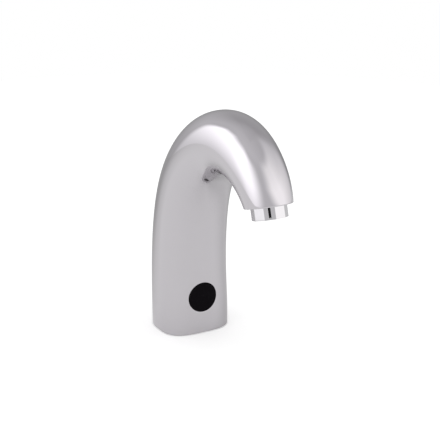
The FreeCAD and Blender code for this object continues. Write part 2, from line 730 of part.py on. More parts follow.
def sensor_clamp():
    """Steel strap that holds the sensor's case in its pocket."""
    bar = box(-POST_X, POST_X, CLAMP_FACE, CLAMP_BACK, EYE_Z - 4, EYE_Z + 4)
    for x in (-POST_X, POST_X):
        bar = bar.fuse(rod_y(4.0, CLAMP_FACE, CLAMP_BACK, x))
    for x in (-POST_X, POST_X):
        bar = bar.cut(rod_y(M25_R + SHANK_GAP, CLAMP_FACE - 1, 0, x))
    return bar


def clamp_screw(x):
    """M2.5 pan-head screw through the clamp into its post."""
    screw = rod_y(M25_R, CLAMP_FACE - 5, CLAMP_BACK, x)
    return screw.fuse(rod_y(PAN_HEAD_R, CLAMP_BACK, CLAMP_BACK + PAN_HEAD_HIGH, x))


# --- Chassis and battery ----------------------------------------------------------------
SIDE_X = 14.6
SIDE_THICK = 2.0
CHASSIS_FOOT_TOP = PLATE_TOP + 1.5
SHELF_HALF_X = 19.5
BATTERY_BOTTOM = SHELF_Z + SHELF_THICK + HOLDER_WALL
BATTERY_TOP = BATTERY_BOTTOM + BATTERY[2]
HOLDER_TOP = BATTERY_TOP + 0.6
CONTACT_X = 8.5


def chassis():
    """Moulded frame: two uprights on the base plate, a cross bar and the battery's shelf."""
    left = box(-SIDE_X - SIDE_THICK, -SIDE_X, -4.4, 6.5, PLATE_TOP, SHELF_Z + 0.5)
    right = box(SIDE_X, SIDE_X + SIDE_THICK, -4.4, 0.5, PLATE_TOP, SHELF_Z + 0.5)
    left_foot = box(-21.6, -SIDE_X, -2.0, 5.0, PLATE_TOP, CHASSIS_FOOT_TOP)
    right_foot = box(SIDE_X, 21.6, -4.4, 0.5, PLATE_TOP, CHASSIS_FOOT_TOP)
    bar = box(-SIDE_X - SIDE_THICK, SIDE_X + SIDE_THICK, -6.4, -4.4, 43.5, 46.5)
    shelf = rounded_box(
        SHELF_HALF_X, 10.2, 3.0, SHELF_Z, SHELF_Z + SHELF_THICK, 0, BATTERY_Y + 0.4)
    frame = left.fuse([right, left_foot, right_foot, bar, shelf]).removeSplitter()
    for x, y in CHASSIS_SCREWS:
        frame = frame.cut(rod(M25_R + SHANK_GAP, PLATE_TOP - 1, 12, x, y))
    return frame


def chassis_screw(x, y):
    """Through the chassis's foot into the base plate."""
    return pan_head_screw(x, y, 3.5, CHASSIS_FOOT_TOP)


def battery_holder():
    """Open-topped box on the shelf round the battery."""
    half_x = BATTERY[0] / 2 + HOLDER_FIT
    half_y = BATTERY[1] / 2 + HOLDER_FIT
    bottom = SHELF_Z + SHELF_THICK
    outer = rounded_box(
        half_x + HOLDER_WALL, half_y + HOLDER_WALL, 2.0, bottom, HOLDER_TOP, 0, BATTERY_Y)
    inner = box(-half_x, half_x, BATTERY_Y - half_y, BATTERY_Y + half_y, bottom + HOLDER_WALL, 200)
    window = box(-10, 10, BATTERY_Y, BATTERY_Y + 30, bottom + 8, HOLDER_TOP - 8)
    return outer.cut(inner).cut(window)


def battery():
    """Two lithium cells side by side in one wrapped pack."""
    pack = rounded_box(
        BATTERY[0] / 2, BATTERY[1] / 2, 6.0, BATTERY_BOTTOM, BATTERY_TOP, 0, BATTERY_Y)
    for x in (-CONTACT_X, CONTACT_X):
        pack = pack.cut(rod(3.0, BATTERY_TOP - 0.4, BATTERY_TOP + 1, x, BATTERY_Y))
    return pack


def battery_contact(x):
    """Sprung leaf under the lid, with a tab for its wire."""
    leaf = box(x - 2.5, x + 2.5, BATTERY_Y - 4.5, BATTERY_Y + 2, BATTERY_TOP, BATTERY_TOP + 0.4)
    tab = box(x - 1.5, x + 1.5, BATTERY_Y - 4.5, BATTERY_Y - 4.1, BATTERY_TOP, BATTERY_TOP + 6)
    return leaf.fuse(tab)


def battery_lid():
    """Snap-on lid that presses the contacts on the battery."""
    half_x = BATTERY[0] / 2 + HOLDER_FIT + HOLDER_WALL
    half_y = BATTERY[1] / 2 + HOLDER_FIT + HOLDER_WALL
    lid = rounded_box(half_x, half_y, 2.0, HOLDER_TOP, HOLDER_TOP + 1.6, 0, BATTERY_Y)
    for x in (-CONTACT_X, CONTACT_X):
        lid = lid.cut(box(x - 1.7, x + 1.7, BATTERY_Y - 4.7, BATTERY_Y - 3.9, 90, 120))
    return lid


# --- Wiring -----------------------------------------------------------------------------
WIRE_R = 0.6
WIRE_Y = -10.9
WIRE_FRONT_Y = -17.9      # in front of the battery
WIRE_TOP = 101.6
WIRE_XS = (-8.5, -4.0, 4.0, 8.5)


def wire_start(x):
    """Height at which a wire leaves the sensor's round case."""
    return EYE_Z + math.sqrt(CAPSULE_R ** 2 - x ** 2) - 0.6


def battery_wire(x):
    """From the sensor's case up in front of the battery to its contact."""
    return tube([Vector(x, WIRE_Y, wire_start(x)), Vector(x, WIRE_Y, 46),
                 Vector(x, WIRE_FRONT_Y, 56), Vector(x, WIRE_FRONT_Y, 98.9),
                 Vector(x, -14.6, WIRE_TOP), Vector(x, BATTERY_Y - 4.5, WIRE_TOP)], WIRE_R)


def coil_wire(x):
    """From the sensor's case to the coil's terminal."""
    return tube([Vector(x, WIRE_Y, wire_start(x)), Vector(x, WIRE_Y, 48.5),
                 Vector(x, TERMINAL_Y - 0.4, COIL_TOP - 2.2)], WIRE_R)


def wiring():
    return Part.makeCompound([battery_wire(WIRE_XS[0]), coil_wire(WIRE_XS[1]),
                              coil_wire(WIRE_XS[2]), battery_wire(WIRE_XS[3])])


# --- All the pieces, in the order that they are put together ----------------------------
save("spout_body", spout_body())
save("base_gasket", base_gasket())
save("base_plate", base_plate())
save("base_screws", group(base_screw, SCREW_PLACES))
save("inlet_fitting", inlet_fitting())
save("inlet_seal", inlet_seal())
save("inlet_filter", inlet_filter())
save("valve_body", valve_body())
save("valve_diaphragm", valve_diaphragm())
save("valve_disc", valve_disc())
save("valve_bonnet", valve_bonnet())
save("bonnet_screws", group(bonnet_screw, FLANGE_SCREWS))
save("valve_plunger", valve_plunger())
save("plunger_seal", plunger_seal())
save("plunger_spring", plunger_spring())
save("fixed_core", fixed_core())
save("coil_bobbin", coil_bobbin())
save("coil_winding", coil_winding())
save("coil_yoke", coil_yoke())
save("coil_terminals", pair(coil_terminal, TERMINAL_X))
save("outlet_elbow", outlet_elbow())
save("riser_tube", riser_tube())
save("tube_clips", tube_clips())
save("outlet_insert", outlet_insert())
save("aerator_housing", aerator_housing())
save("aerator_cartridge", aerator_cartridge())
save("aerator_screen", aerator_screen())
save("aerator_washer", aerator_washer())
save("sensor_lens", sensor_lens())
save("sensor_seal", sensor_seal())
save("sensor_case", sensor_case())
save("optic_divider", optic_divider())
save("infrared_emitter", diode(-DIODE_X))
save("infrared_receiver", diode(DIODE_X))
save("sensor_board", sensor_board())
save("sensor_back_cover", sensor_back_cover())
save("sensor_clamp", sensor_clamp())
save("clamp_screws", pair(clamp_screw, POST_X))
save("chassis", chassis())
save("chassis_screws", group(chassis_screw, CHASSIS_SCREWS))
save("battery_holder", battery_holder())
save("battery", battery())
save("battery_contacts", pair(battery_contact, CONTACT_X))
save("battery_lid", battery_lid())
save("wiring", wiring())
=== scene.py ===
"""Sensor tap: the looks of a cast, arched, chrome-plated basin tap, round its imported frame."""
import math

import bmesh
import bpy
from mathutils import Matrix, Vector


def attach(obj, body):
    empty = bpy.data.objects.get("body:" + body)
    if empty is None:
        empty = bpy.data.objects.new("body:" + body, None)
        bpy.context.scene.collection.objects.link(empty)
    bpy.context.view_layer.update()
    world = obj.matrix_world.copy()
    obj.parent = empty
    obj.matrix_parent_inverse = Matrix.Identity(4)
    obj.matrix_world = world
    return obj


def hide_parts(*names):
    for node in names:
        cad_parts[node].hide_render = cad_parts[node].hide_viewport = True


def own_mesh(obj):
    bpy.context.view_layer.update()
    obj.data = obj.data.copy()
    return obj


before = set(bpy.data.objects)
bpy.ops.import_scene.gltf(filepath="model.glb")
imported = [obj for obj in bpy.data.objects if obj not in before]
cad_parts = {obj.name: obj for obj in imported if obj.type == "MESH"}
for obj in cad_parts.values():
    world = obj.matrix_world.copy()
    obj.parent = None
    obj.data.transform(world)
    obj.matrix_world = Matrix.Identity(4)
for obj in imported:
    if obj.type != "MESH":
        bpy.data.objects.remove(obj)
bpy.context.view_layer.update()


# --- Camera ---------------------------------------------------------------------------------
# The tap is seen from its front left and a little above, from about a metre away, through a
# long lens. The shift puts the tap as far left of the picture's middle as it stands there.
PICTURE = 440
CAMERA_TURN = math.radians(-28.01)      # from straight in front, towards the right
CAMERA_RISE = math.radians(20.39)
CAMERA_DISTANCE = 1.03687
FOCAL_PIXELS = 1439.62
CENTRE_X_PIXEL = 204.57   # where the lens's axis meets the picture
CENTRE_Y_PIXEL = 225.90
FILM_WIDTH = 36
VIEW_DEPTH = 20
AIM = Vector((0, -0.025, 0.085))

camera_data = bpy.data.cameras.new("camera")
camera_data.sensor_width = FILM_WIDTH
camera_data.lens = FOCAL_PIXELS * FILM_WIDTH / PICTURE
camera_data.shift_x = (PICTURE / 2 - CENTRE_X_PIXEL) / PICTURE
camera_data.shift_y = (CENTRE_Y_PIXEL - PICTURE / 2) / PICTURE
camera_data.clip_end = VIEW_DEPTH
camera = bpy.data.objects.new("camera", camera_data)
bpy.context.scene.collection.objects.link(camera)
towards_camera = Vector((math.sin(CAMERA_TURN) * math.cos(CAMERA_RISE),
                         -math.cos(CAMERA_TURN) * math.cos(CAMERA_RISE),
                         math.sin(CAMERA_RISE)))
camera.location = AIM + towards_camera * CAMERA_DISTANCE
camera.rotation_euler = towards_camera.to_track_quat("Z", "Y").to_euler()
bpy.context.scene.camera = camera
bpy.context.scene.view_settings.view_transform = "Standard"


# --- Studio light ---------------------------------------------------------------------------
# One even white light from all round, in which a colour renders as it is written, and a round
# white table top under the tap that keeps its soft shadow. Polished metal shows the table grey,
# with painted shade on it to the right of the tap and behind it.
WHITE = (1.0, 1.0, 1.0, 1.0)
TABLE_RADIUS = 0.75
TABLE_SIDES = 96
TABLE_WHITE = 0.95
TABLE_GREY = 0.80         # how the bare table shows in polished metal
TABLE_LIFT = 0.20         # brings the unshaded table up to the white of what lies behind it
SHADE_CORNER = 0.02       # the painted shade's bearings are taken from this far in front of the middle
# Bearings here are degrees from straight behind, towards the right. Each curve says where it
# starts, where it ends, and what it gives at the start and at the end.
# Painted shade on the table, seen only in polished metal: darker to the right of the tap and behind
# it.
SIDE_SHADE_FRONT_EDGE = (137, 82, 0, 1)
SIDE_SHADE_REAR_EDGE = (-31, 30, 0, 1)
SIDE_SHADE_DEPTH = 0.2
REAR_SHADE_LEFT_EDGE = (-45, -9, 0, 1)
REAR_SHADE_RIGHT_EDGE = (43, 78, 1, 0)
REAR_SHADE_DEPTH = (0.04, 0.34, 0.26, 0.48)     # over the distance from the tap


class NodeTree:
    """Lays out a node tree: each call adds one node and gives one of its outputs."""

    def __init__(self, tree):
        self.tree = tree
        tree.nodes.clear()

    def add(self, kind, *values, output=0, named=None, **settings):
        node = self.tree.nodes.new(kind)
        for setting, value in settings.items():
            setattr(node, setting, value)
        for place, value in list(enumerate(values)) + list((named or {}).items()):
            if isinstance(value, bpy.types.NodeSocket):
                self.tree.links.new(value, node.inputs[place])
            else:
                node.inputs[place].default_value = value
        return node.outputs[output] if node.outputs else node

    def math(self, operation, *values):
        return self.add("ShaderNodeMath", *values, operation=operation)

    def ease(self, value, start, end, low, high):
        """Soft step from low at start to high at end."""
        return self.add("ShaderNodeMapRange", value, start, end, low, high,
                        interpolation_type="SMOOTHSTEP")

    def ramp(self, value, start, end, low, high):
        """Straight ramp from low at start to high at end, level outside them."""
        return self.add("ShaderNodeMapRange", value, start, end, low, high)

    def blend(self, share, first, second):
        """Colour that goes from the first to the second as the share goes from 0 to 1."""
        one, other, mixed = 6, 7, 2     # places of the mix node's colour sockets
        return self.add("ShaderNodeMix", share, data_type="RGBA", output=mixed,
                        named={one: (*first, 1.0), other: (*second, 1.0)})

    def noise(self, place, scale, detail):
        return self.add("ShaderNodeTexNoise",
                        named={"Vector": place, "Scale": scale, "Detail": detail})

    def relief(self, depth, height):
        """Bumps that rise by this depth where the height goes from 0 to 1."""
        return self.add("ShaderNodeBump",
                        named={"Strength": 1.0, "Distance": depth, "Height": height})

    def surface(self, sockets):
        """The material's surface, with what is said here for the shader's own sockets."""
        self.add("ShaderNodeOutputMaterial", self.add("ShaderNodeBsdfPrincipled", named=sockets))


def new_material(name):
    made = bpy.data.materials.new(name)
    made.use_nodes = True
    return made, NodeTree(made.node_tree)


def take_piece(name, material):
    """The object that an operator has just made, with its name and its material."""
    piece = bpy.context.object
    piece.name = name
    piece.data.name = name
    piece.data.materials.append(material)
    return piece


world = bpy.data.worlds.new("even_light")
world.use_nodes = True
tree = NodeTree(world.node_tree)
tree.add("ShaderNodeOutputWorld", tree.add("ShaderNodeBackground", WHITE, 1.0))
bpy.context.scene.world = world

table_white, tree = new_material("table_white")
place = tree.add("ShaderNodeTexCoord", output="Object")
side, back = [tree.add("ShaderNodeSeparateXYZ", place, output=axis) for axis in "XY"]
from_corner = tree.math("ADD", back, SHADE_CORNER)
behind = tree.math("DEGREES", tree.math("ARCTAN2", side, from_corner))
away = tree.math("SQRT", tree.math("MULTIPLY_ADD", side, side, tree.math("MULTIPLY", back, back)))
# Painted shade: in polished metal the table shows darker to the right of the tap and behind it,
# deeper further back.
right_shade = tree.math("MULTIPLY", tree.ease(behind, *SIDE_SHADE_FRONT_EDGE),
                       tree.ease(behind, *SIDE_SHADE_REAR_EDGE))
rear = tree.math("MULTIPLY", tree.ease(behind, *REAR_SHADE_LEFT_EDGE),
                 tree.ease(behind, *REAR_SHADE_RIGHT_EDGE))
rear_shade = tree.math("MULTIPLY", rear, tree.ease(away, *REAR_SHADE_DEPTH))
side_grey = tree.math("MULTIPLY_ADD", right_shade, -SIDE_SHADE_DEPTH * TABLE_GREY, TABLE_GREY)
grey = tree.math("MULTIPLY", side_grey, tree.math("SUBTRACT", 1.0, rear_shade))
mirrored = tree.add("ShaderNodeLightPath", output="Is Glossy Ray")
bounced = tree.add("ShaderNodeLightPath", output="Is Diffuse Ray")
shown = tree.ramp(mirrored, 0, 1, TABLE_WHITE, grey)
paint = tree.add("ShaderNodeBsdfDiffuse", tree.add("ShaderNodeCombineColor", shown, shown, shown))
lift = tree.add("ShaderNodeEmission", WHITE,
                tree.math("MULTIPLY", shown, tree.ramp(bounced, 0, 1, TABLE_LIFT, 0)))
tree.add("ShaderNodeOutputMaterial", tree.add("ShaderNodeAddShader", paint, lift))

bpy.ops.object.select_all(action="DESELECT")
bpy.ops.mesh.primitive_circle_add(vertices=TABLE_SIDES, radius=TABLE_RADIUS, fill_type="NGON")
take_piece("table_top", table_white)


# --- Tent -----------------------------------------------------------------------------------
# A cloth tent round the table, which only polished surfaces show: a large softbox on the left,
# a weaker, warmer card in front on the right, shade behind on the right, and grey cloth all
# else. The box's and the card's bearings are from straight in front, the shades' from behind.
TENT_RADIUS = 3.0
TENT_SEGMENTS = 64
TENT_RINGS = 32
TENT_GREY = 0.76
# Curves as on the table, in degrees to the right or above level. An edge's lean is what its
# bearing or its rise changes by along the edge.
BOX_LEFT_EDGE = (-166, -155, 0, 1)
BOX_LEFT_LEAN = (20, 51, 0, -10)
BOX_RIGHT_EDGE = (-90, -41, 1, 0)
BOX_RIGHT_LEAN = (31, 50, -5, 0)
BOX_TOP_EDGE = (52, 69, 1, 0)
BOX_TOP_RIGHT_LEAN = (-96, -59, 0, 8)
BOX_TOP_LEFT_LEAN = (-157, -127, 11, 0)
BOX_LIGHT = (-22, 36, 0, 1.19)
BOX_LIGHT_LEAN = (-118, -94, 0, 16)
CARD_LEFT_EDGE = (-35, 11, 0, 1)
CARD_LEFT_LEAN = (4, 33, -24, 0)
CARD_RIGHT_EDGE = (42, 112, 1, 0)
CARD_RIGHT_LEAN = (18, 37, -6, 5)
CARD_TOP_EDGE = (56, 70, 1, 0)
CARD_LIGHT = (28, 59, 0.74, 0.47)
SHADE_LEFT_EDGE = (-11, 26, 0, 1)
SHADE_RIGHT_EDGE = (61, 86, 1, 0)
SHADE_LIGHT = (45, 73, -0.24, -0.04)
LOW_SHADE_LEFT_EDGE = (-37, -18, 0, 1)
LOW_SHADE_RIGHT_EDGE = (58, 75, 1, 0)
LOW_SHADE_LIGHT = (-18, 26, -0.26, 0)
ROOF_LIGHT = (54, 74, 0, -0.073)        # for each metre to the right
CARD_WARMTH = (0.0, 0.5, 0, 1)          # the card's tint is full where its light is 0.5
CLOTH_TINT = (1.0, 0.995, 1.01)
CARD_TINT = (1.0, 0.99, 0.985)

tent_cloth, tree = new_material("tent_cloth")
place = tree.add("ShaderNodeTexCoord", output="Object")
side, back, height = [tree.add("ShaderNodeSeparateXYZ", place, output=axis) for axis in "XYZ"]
front = tree.math("MULTIPLY", back, -1.0)
bearing = tree.math("DEGREES", tree.math("ARCTAN2", side, front))
rise = tree.math("DEGREES", tree.math("ARCSINE", tree.math("DIVIDE", height, TENT_RADIUS)))
behind = tree.math("DEGREES", tree.math("ARCTAN2", side, back))


def product(first, *others):
    for other in others:
        first = tree.math("MULTIPLY", first, other)
    return first


def total(first, *others):
    for other in others:
        first = tree.math("ADD", first, other)
    return first


box_left = tree.ease(total(bearing, tree.ease(rise, *BOX_LEFT_LEAN)), *BOX_LEFT_EDGE)
box_right = tree.ease(total(bearing, tree.ease(rise, *BOX_RIGHT_LEAN)), *BOX_RIGHT_EDGE)
box_top = total(rise, tree.ease(bearing, *BOX_TOP_RIGHT_LEAN),
                tree.ease(bearing, *BOX_TOP_LEFT_LEAN))
box_light = tree.ramp(total(rise, tree.ease(bearing, *BOX_LIGHT_LEAN)), *BOX_LIGHT)
left_box = product(box_left, box_right, tree.ease(box_top, *BOX_TOP_EDGE), box_light)

card_left = tree.ease(total(bearing, tree.ramp(rise, *CARD_LEFT_LEAN)), *CARD_LEFT_EDGE)
card_right = tree.ramp(total(bearing, tree.ramp(rise, *CARD_RIGHT_LEAN)), *CARD_RIGHT_EDGE)
card_light = product(tree.ramp(rise, *CARD_LIGHT), tree.ease(rise, *CARD_TOP_EDGE))
front_card = product(card_left, card_right, card_light)

shade = product(tree.ramp(behind, *SHADE_LEFT_EDGE), tree.ease(behind, *SHADE_RIGHT_EDGE),
                tree.ease(rise, *SHADE_LIGHT))
low_shade = product(tree.ease(behind, *LOW_SHADE_LEFT_EDGE),
                    tree.ease(behind, *LOW_SHADE_RIGHT_EDGE), tree.ease(rise, *LOW_SHADE_LIGHT))
roof = product(side, tree.ease(rise, *ROOF_LIGHT))

level = total(left_box, front_card, shade, low_shade, roof, TENT_GREY)
colour = tree.blend(tree.ease(front_card, *CARD_WARMTH), CLOTH_TINT, CARD_TINT)
tree.add("ShaderNodeOutputMaterial", tree.add("ShaderNodeEmission", colour, level))
tent_cloth.cycles.emission_sampling = "NONE"

bpy.ops.object.select_all(action="DESELECT")
bpy.ops.mesh.primitive_uv_sphere_add(segments=TENT_SEGMENTS, ring_count=TENT_RINGS,
                                     radius=TENT_RADIUS)
tent = take_piece("tent", tent_cloth)
for ray in ("camera", "diffuse", "shadow", "transmission", "volume_scatter"):
    setattr(tent, "visible_" + ray, False)


# --- Casting --------------------------------------------------------------------------------
# One hollow brass casting, linished, polished all over and plated with bright chrome. Its skin
# is drawn out ring by ring: up the outside from the foot and over the arch to the lip, in round
# the lip, and back down the inside to the foot. Each station steers its line and its section:
# y and z of the line, full width, full depth, and the powers that square its back and front.
FOOT = (0.0, 0.0, 0.0541, 0.0470, 2.46, 3.14)
SKIRT = (0.0, 0.0142, 0.0546, 0.0456, 2.40, 3.27)
WAIST = (0.0021, 0.0427, 0.0538, 0.0464, 2.33, 2.84)
SHOULDER = (-0.0004, 0.0860, 0.0524, 0.0485, 2.25, 2.69)
RISE = (-0.0121, 0.1245, 0.0503, 0.0489, 2.16, 2.36)
CROWN = (-0.0457, 0.1581, 0.0468, 0.0460, 2.07, 2.32)
FALL = (-0.0868, 0.1615, 0.0418, 0.0401, 1.97, 2.21)
NECK = (-0.1111, 0.1402, 0.0367, 0.0348, 2.00, 2.00)
LIP = (-0.1147, 0.1285, 0.0332, 0.0332, 2.00, 2.00)
STATIONS = (FOOT, SKIRT, WAIST, SHOULDER, RISE, CROWN, FALL, NECK, LIP)
DEGREE = 3                # of the curve through the stations
SPANS = len(STATIONS) - DEGREE
HEADING_STEP = 0.001      # spans either side, between which the line's direction is taken

COLUMNS = 160
OUTER_RINGS = 180
INNER_RINGS = 60
WALL = 0.0028
TIP_WALL = 0.0046
CAVITY_END = 5.88         # spans along, where the wall is thickest
CAVITY_TOP = 5.76         # spans along, where the hollow meets the insert's pocket
FOOT_GAP = 0.0004         # the casting ends this far above the deck
FOOT_EDGE = 0.0006        # rounding of the foot's edge
LIP_EDGE = 0.0005         # rounding of the lip's edge
INSERT_RADIUS = 0.01378
INSERT_DEPTH = 0.0084
INSERT_EDGE = 0.0002      # chamfer at the mouth of the insert's pocket
EDGE_STEPS = 4
CREASE = math.radians(40)  # edges sharper than this stay crisp


def knot(i):
    return min(max(i - DEGREE, 0), SPANS)


def steer(u):
    """What the stations give at u spans along the body, on a clamped cubic curve (de Boor)."""
    span = min(int(u), SPANS - 1)
    steered = list(STATIONS[span:span + DEGREE + 1])
    for level in range(1, DEGREE + 1):
        for k in range(DEGREE, level - 1, -1):
            low, high = knot(span + k), knot(span + k + DEGREE + 1 - level)
            share = (u - low) / (high - low)
            steered[k] = [a + (b - a) * share for a, b in zip(steered[k - 1], steered[k])]
    return steered[DEGREE]


def heading(u):
    """Unit direction of the body's line at u, as its y and z."""
    before, after = steer(max(u - HEADING_STEP, 0.0)), steer(min(u + HEADING_STEP, SPANS))
    along = Vector((after[0] - before[0], after[1] - before[1])).normalized()
    return along.x, along.y


def section_ring(u, inset=0.0):
    """Points round the body's section, from its right (+X) over its back."""
    y, z, width, depth, back_power, front_power = steer(u)
    along_y, along_z = heading(u)
    points = []
    for column in range(COLUMNS):
        turn = math.tau * column / COLUMNS
        across, outward = math.cos(turn), math.sin(turn)
        power = back_power if outward >= 0 else front_power
        reach = ((abs(across) / (width / 2 - inset)) ** power
                 + (abs(outward) / (depth / 2 - inset)) ** power) ** (-1 / power)
        points.append(Vector((across * reach, y + outward * reach * along_z,
                              z - outward * reach * along_y)))
    return points


foot_speed = DEGREE * (SKIRT[1] - FOOT[1])      # how far the line climbs in a span, at the foot


def foot_ring(height, inset):
    """Level section just above the deck."""
    return section_ring(height / foot_speed, inset)


def wall_at(u):
    """The wall grows thicker over the last span before the outlet."""
    return WALL + (TIP_WALL - WALL) * max(0.0, u - CAVITY_END + 1) ** 2


outlet_tilt = math.atan2(NECK[0] - LIP[0], NECK[1] - LIP[1])
outlet_frame = Matrix.Translation((0, LIP[0], LIP[1])) @ Matrix.Rotation(-outlet_tilt, 4, "X")
lip_speed = DEGREE * math.hypot(NECK[0] - LIP[0], NECK[1] - LIP[1])


def outlet_ring(radius, height):
    """Circle about the outlet's own axis, at a height up into the spout from its lip."""
    turns = [math.tau * i / COLUMNS for i in range(COLUMNS)]
    return [outlet_frame @ Vector((radius * math.cos(turn), radius * math.sin(turn), height))
            for turn in turns]


def draw_out(rings):
    """Extrude the selected open ring through these rings, one after the other."""
    for ring in rings:
        bpy.ops.mesh.extrude_edges_move()
        edited = bmesh.from_edit_mesh(bpy.context.object.data)
        places = edited.verts.layers.int["place"]
        for vertex in edited.verts:
            if vertex.select:
                vertex.co = ring[vertex[places]]


def start_ring(ring):
    """A new mesh in edit mode that holds one open ring, selected, through these points."""
    bpy.ops.object.select_all(action="DESELECT")
    bpy.ops.mesh.primitive_circle_add(vertices=len(ring))
    bpy.ops.object.mode_set(mode="EDIT")
    edited = bmesh.from_edit_mesh(bpy.context.object.data)
    places = edited.verts.layers.int.new("place")
    edited.verts.ensure_lookup_table()
    for i, vertex in enumerate(edited.verts):
        vertex[places] = i
        vertex.co = ring[i]
    bpy.ops.mesh.select_all(action="SELECT")


def edge_steps(size):
    """How far in and how far back each ring of a rounded edge lies, from the side to the end."""
    turns = [math.pi / 2 * i / EDGE_STEPS for i in range(EDGE_STEPS + 1)]
    return [(size * (1 - math.cos(turn)), size * (1 - math.sin(turn))) for turn in turns]


foot_rings = [foot_ring(FOOT_GAP + back, inset)
              for inset, back in reversed(edge_steps(FOOT_EDGE))]
first_u = (FOOT_GAP + FOOT_EDGE) / foot_speed
last_u = SPANS - LIP_EDGE / lip_speed
steps = [i / OUTER_RINGS for i in range(1, OUTER_RINGS)]
outer_rings = [section_ring(first_u + (last_u - first_u) * step) for step in steps]
lip_rings = [section_ring(SPANS - back / lip_speed, inset)
             for inset, back in edge_steps(LIP_EDGE)]
pocket_rings = [outlet_ring(INSERT_RADIUS + INSERT_EDGE, 0.0),
                outlet_ring(INSERT_RADIUS, INSERT_EDGE),
                outlet_ring(INSERT_RADIUS, INSERT_DEPTH)]
inner_us = [CAVITY_TOP * (1 - i / INNER_RINGS) for i in range(INNER_RINGS)]
inner_rings = [section_ring(u, wall_at(u)) for u in inner_us] + [foot_ring(FOOT_GAP, WALL)]

start_ring(foot_rings[0])
draw_out(foot_rings[1:] + outer_rings + lip_rings + pocket_rings + inner_rings)
bpy.ops.mesh.select_all(action="DESELECT")
bpy.ops.mesh.select_non_manifold()
bpy.ops.mesh.bridge_edge_loops()
bpy.ops.mesh.select_all(action="SELECT")
bpy.ops.mesh.normals_make_consistent(inside=False)

EYE_HEIGHT = 0.0282       # centre of the sensor's window
EYE_RADIUS = 0.0114
EYE_EDGE = 0.0002         # rounding of the window hole's edge
EYE_PATCH = 0.0149        # half the side of the patch of skin that is redrawn round the window
POCKET_RADIUS = 0.0126    # behind the window, for the sensor's case
POCKET_FLOOR = -0.0197    # y at which the window's hole widens into the pocket
BOSS_RADIUS = 0.0142      # the boss round the pocket, inside the hollow
BOSS_END = -0.0125        # y of its back end
BOSS_PATCH = 0.0186       # half the side of the patch of the inside that is redrawn round it
EYE_MARGIN = 0.0008       # from the hole's edge to the circle that the patch is drawn in to
BOSS_MARGIN = 0.0006
SETTLING_STEPS = 8        # how often a point's place along the line is corrected


def front_point(x, z, inset=0.0):
    """The point of the casting's front skin, or of its inside, at this x and z."""
    u = z / foot_speed
    for _ in range(SETTLING_STEPS):
        line_y, line_z, width, depth, _, power = steer(u)
        along_y, along_z = heading(u)
        out = (depth / 2 - inset) * (1 - (abs(x) / (width / 2 - inset)) ** power) ** (1 / power)
        u -= (line_z + out * along_y - z) / foot_speed
    return Vector((x, line_y - out * along_z, z))


def in_skin(middle):
    """Whether a point of the front wall lies in its outer half."""
    return middle.y < front_point(middle.x, middle.z, WALL / 2).y


def open_patch(half_side, on_skin):
    """Cut a square patch from the front skin, or the inside, and number the cut's edge."""
    bpy.ops.mesh.select_all(action="DESELECT")
    edited = bmesh.from_edit_mesh(bpy.context.object.data)
    for face in edited.faces:
        middle = face.calc_center_median()
        near = max(abs(middle.x), abs(middle.z - EYE_HEIGHT)) < half_side and middle.y < 0
        face.select_set(near and in_skin(middle) == on_skin)
    bpy.ops.mesh.delete(type="FACE")
    bpy.ops.mesh.select_all(action="DESELECT")
    edited = bmesh.from_edit_mesh(bpy.context.object.data)
    places = edited.verts.layers.int["place"]
    for edge in edited.edges:
        middle = (edge.verts[0].co + edge.verts[1].co) / 2
        if edge.is_boundary and in_skin(middle) == on_skin:
            edge.select_set(True)
    cut = [vertex for vertex in edited.verts if vertex.select]
    for i, vertex in enumerate(cut):
        vertex[places] = i
    return [vertex.co.copy() for vertex in cut]


def round_ring(cut, radius, y=None, inset=0.0, share=1.0, depth=0.0):
    """Ring that brings the cut's square edge this share of the way to a circle."""
    ring = []
    for point in cut:
        x, z = point.x, point.z - EYE_HEIGHT
        far = math.hypot(x, z)
        scale = (far + (radius - far) * share) / far
        skin = front_point(x * scale, EYE_HEIGHT + z * scale, inset)
        ring.append(Vector((skin.x, skin.y + depth if y is None else y, skin.z)))
    return ring


BLENDS = (0.2, 0.4, 0.6, 0.8, 1.0)      # shares of the way from a square cut to a circle
cut = open_patch(BOSS_PATCH, False)
draw_out([round_ring(cut, BOSS_RADIUS + BOSS_MARGIN, inset=WALL, share=share)
          for share in BLENDS])
cut = open_patch(EYE_PATCH, True)
draw_out([round_ring(cut, EYE_RADIUS + EYE_MARGIN, share=share) for share in BLENDS])
draw_out([round_ring(cut, EYE_RADIUS + more, depth=depth)
          for depth, more in edge_steps(EYE_EDGE)])
draw_out([round_ring(cut, EYE_RADIUS, POCKET_FLOOR),
          round_ring(cut, POCKET_RADIUS, POCKET_FLOOR),
          round_ring(cut, POCKET_RADIUS, BOSS_END), round_ring(cut, BOSS_RADIUS, BOSS_END),
          round_ring(cut, BOSS_RADIUS, inset=WALL)])
bpy.ops.mesh.select_all(action="DESELECT")
bpy.ops.mesh.select_non_manifold()
bpy.ops.mesh.bridge_edge_loops()
bpy.ops.mesh.select_all(action="SELECT")
bpy.ops.mesh.normals_make_consistent(inside=False)
bpy.ops.object.mode_set(mode="OBJECT")
bpy.ops.object.shade_smooth_by_angle(angle=CREASE)

POLISH_MARK = 0.004       # size of the uneven spots that polishing leaves
WAVE = 0.014              # size of the soft waves that linishing leaves
WAVE_HEIGHT = 0.000012
NOISE_MOST = (0.35, 0.65)  # between which most of a noise's values lie
CHROME_COLOUR = (0.563, 0.544, 0.568, 1.0)
CHROME_ROUGHNESS = (0.05, 0.075)

bright_chrome, tree = new_material("bright_chrome")
place = tree.add("ShaderNodeTexCoord", output="Object")
spots = tree.noise(place, 1 / POLISH_MARK, 4.0)
waves = tree.noise(place, 1 / WAVE, 1.0)
bumps = tree.relief(WAVE_HEIGHT, waves)
tree.surface({"Base Color": CHROME_COLOUR, "Metallic": 1.0,
              "Roughness": tree.ramp(spots, *NOISE_MOST, *CHROME_ROUGHNESS), "Normal": bumps})

casting = take_piece("chrome_casting", bright_chrome)
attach(casting, "root")
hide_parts("spout_body")


